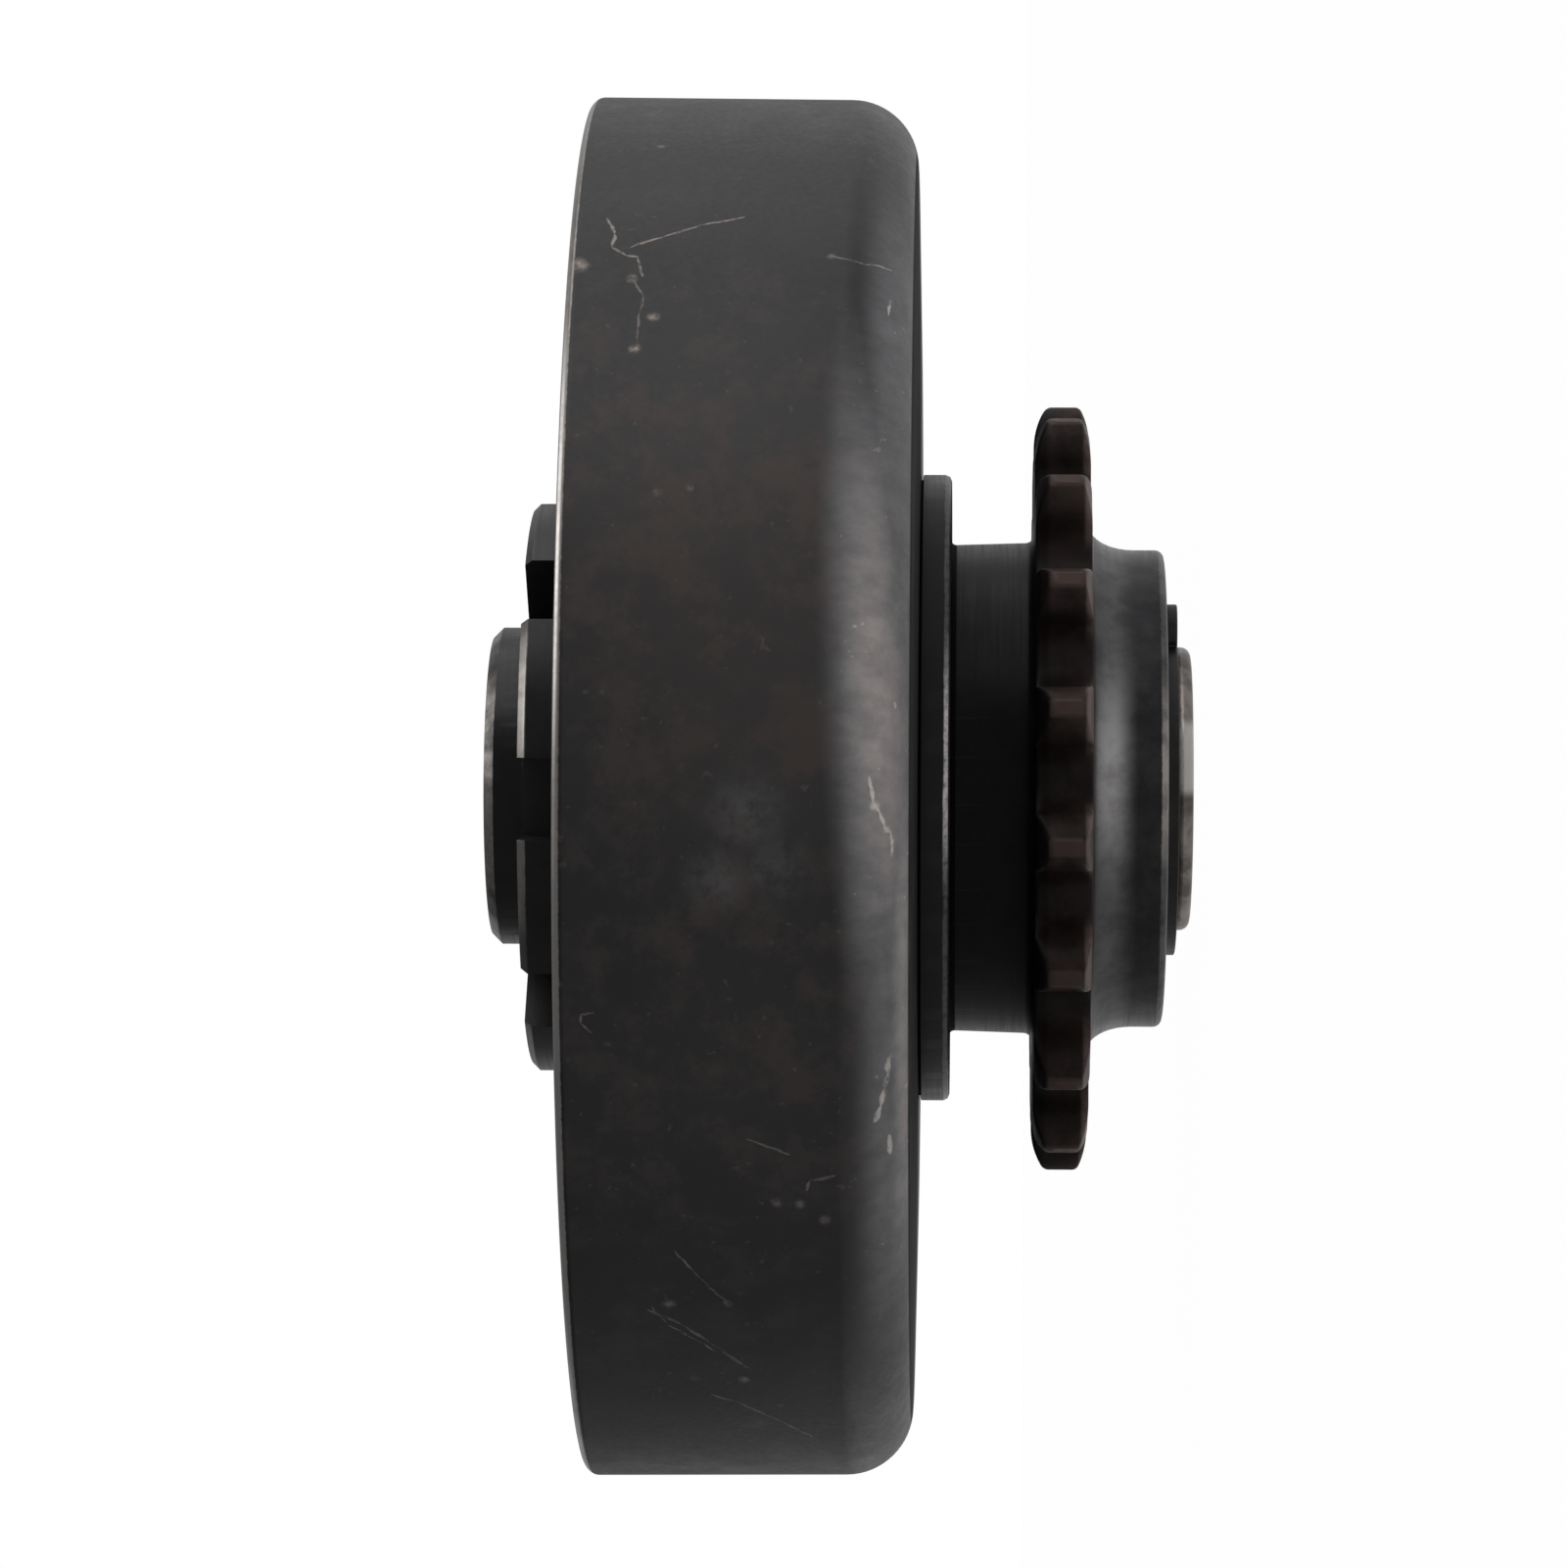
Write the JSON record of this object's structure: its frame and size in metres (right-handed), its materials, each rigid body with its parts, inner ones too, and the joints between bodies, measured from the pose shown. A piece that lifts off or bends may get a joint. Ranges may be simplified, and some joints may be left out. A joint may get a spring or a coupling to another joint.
{
  "type": "centrifugal clutch",
  "caption": "Centrifugal clutch: slotted drive hub, sliding lined shoes with a garter spring, and a drum that carries a roller-chain sprocket on a bronze bushing.",
  "frame": {"origin": "centre of the sleeve end on which the clutch stands, on the crankshaft axis", "axes": "+Z along the crankshaft axis from the sprocket end to the open side of the drum; +X towards the snap ring's opening, which is the picture's top edge; -Y towards the picture's viewer"},
  "size_m": [0.1078, 0.1078, 0.0546],
  "materials": {
    "blackened_drum_steel": "black oxide on drawn steel, satin, rubbed bare along the rim",
    "oiled_sprocket_steel": "hardened brown-black steel, oiled, dull satin",
    "blackened_hub_steel": "black oxide on turned steel, bright on chamfers and on the sleeve",
    "bright_washer_steel": "bare rolled steel, satin",
    "spring_steel": "phosphated spring steel, dull black",
    "sintered_shoe_steel": "sintered steel, finely grained grey",
    "oil_bronze": "oil-filled sintered bronze, matt",
    "friction_lining": "moulded friction lining, matt brown-grey with flecks"
  },
  "bodies": {
    "hub": {"drive_hub": "blackened_hub_steel", "inner_thrust_washer": "bright_washer_steel", "outer_thrust_washer": "bright_washer_steel", "guide_plate": "bright_washer_steel", "snap_ring": "spring_steel", "shoe_retainer": "spring_steel", "garter_spring": "spring_steel"},
    "drum": {"drum_cup": "blackened_drum_steel", "sprocket_hub": "oiled_sprocket_steel", "bronze_bushing": "oil_bronze"},
    "shoe_1": {"shoe_1": "sintered_shoe_steel", "lining_1": "friction_lining"},
    "shoe_2": {"shoe_2": "sintered_shoe_steel", "lining_2": "friction_lining"},
    "shoe_3": {"shoe_3": "sintered_shoe_steel", "lining_3": "friction_lining"},
    "shoe_4": {"shoe_4": "sintered_shoe_steel", "lining_4": "friction_lining"},
    "shoe_5": {"shoe_5": "sintered_shoe_steel", "lining_5": "friction_lining"},
    "shoe_6": {"shoe_6": "sintered_shoe_steel", "lining_6": "friction_lining"},
    "shoe_7": {"shoe_7": "sintered_shoe_steel", "lining_7": "friction_lining"},
    "shoe_8": {"shoe_8": "sintered_shoe_steel", "lining_8": "friction_lining"}
  },
  "joints": [
    {"name": "drum_spin", "type": "hinge", "parent": "hub", "child": "drum", "pos_m": [0, 0, 0], "axis": [0, 0, 1], "continuous": true},
    {"name": "shoe_1_slide", "type": "slide", "parent": "hub", "child": "shoe_1", "axis": [0.999, -0.0454, 0], "range_m": [0, 0.0007], "stiffness_N_per_m": 2000, "springref_m": -0.004, "deforming": ["garter_spring"]},
    {"name": "shoe_2_slide", "type": "slide", "parent": "hub", "child": "shoe_2", "axis": [0.7385, 0.6743, 0], "range_m": [0, 0.0007], "stiffness_N_per_m": 2000, "springref_m": -0.004},
    {"name": "shoe_3_slide", "type": "slide", "parent": "hub", "child": "shoe_3", "axis": [0.0454, 0.999, 0], "range_m": [0, 0.0007], "stiffness_N_per_m": 2000, "springref_m": -0.004},
    {"name": "shoe_4_slide", "type": "slide", "parent": "hub", "child": "shoe_4", "axis": [-0.6743, 0.7385, 0], "range_m": [0, 0.0007], "stiffness_N_per_m": 2000, "springref_m": -0.004},
    {"name": "shoe_5_slide", "type": "slide", "parent": "hub", "child": "shoe_5", "axis": [-0.999, 0.0454, 0], "range_m": [0, 0.0007], "stiffness_N_per_m": 2000, "springref_m": -0.004},
    {"name": "shoe_6_slide", "type": "slide", "parent": "hub", "child": "shoe_6", "axis": [-0.7385, -0.6743, 0], "range_m": [0, 0.0007], "stiffness_N_per_m": 2000, "springref_m": -0.004},
    {"name": "shoe_7_slide", "type": "slide", "parent": "hub", "child": "shoe_7", "axis": [-0.0454, -0.999, 0], "range_m": [0, 0.0007], "stiffness_N_per_m": 2000, "springref_m": -0.004},
    {"name": "shoe_8_slide", "type": "slide", "parent": "hub", "child": "shoe_8", "axis": [0.6743, -0.7385, 0], "range_m": [0, 0.0007], "stiffness_N_per_m": 2000, "springref_m": -0.004}
  ],
  "couplings": [
    {"joint": "shoe_2_slide", "follows": "shoe_1_slide", "ratio": 1},
    {"joint": "shoe_3_slide", "follows": "shoe_1_slide", "ratio": 1},
    {"joint": "shoe_4_slide", "follows": "shoe_1_slide", "ratio": 1},
    {"joint": "shoe_5_slide", "follows": "shoe_1_slide", "ratio": 1},
    {"joint": "shoe_6_slide", "follows": "shoe_1_slide", "ratio": 1},
    {"joint": "shoe_7_slide", "follows": "shoe_1_slide", "ratio": 1},
    {"joint": "shoe_8_slide", "follows": "shoe_1_slide", "ratio": 1}
  ]
}
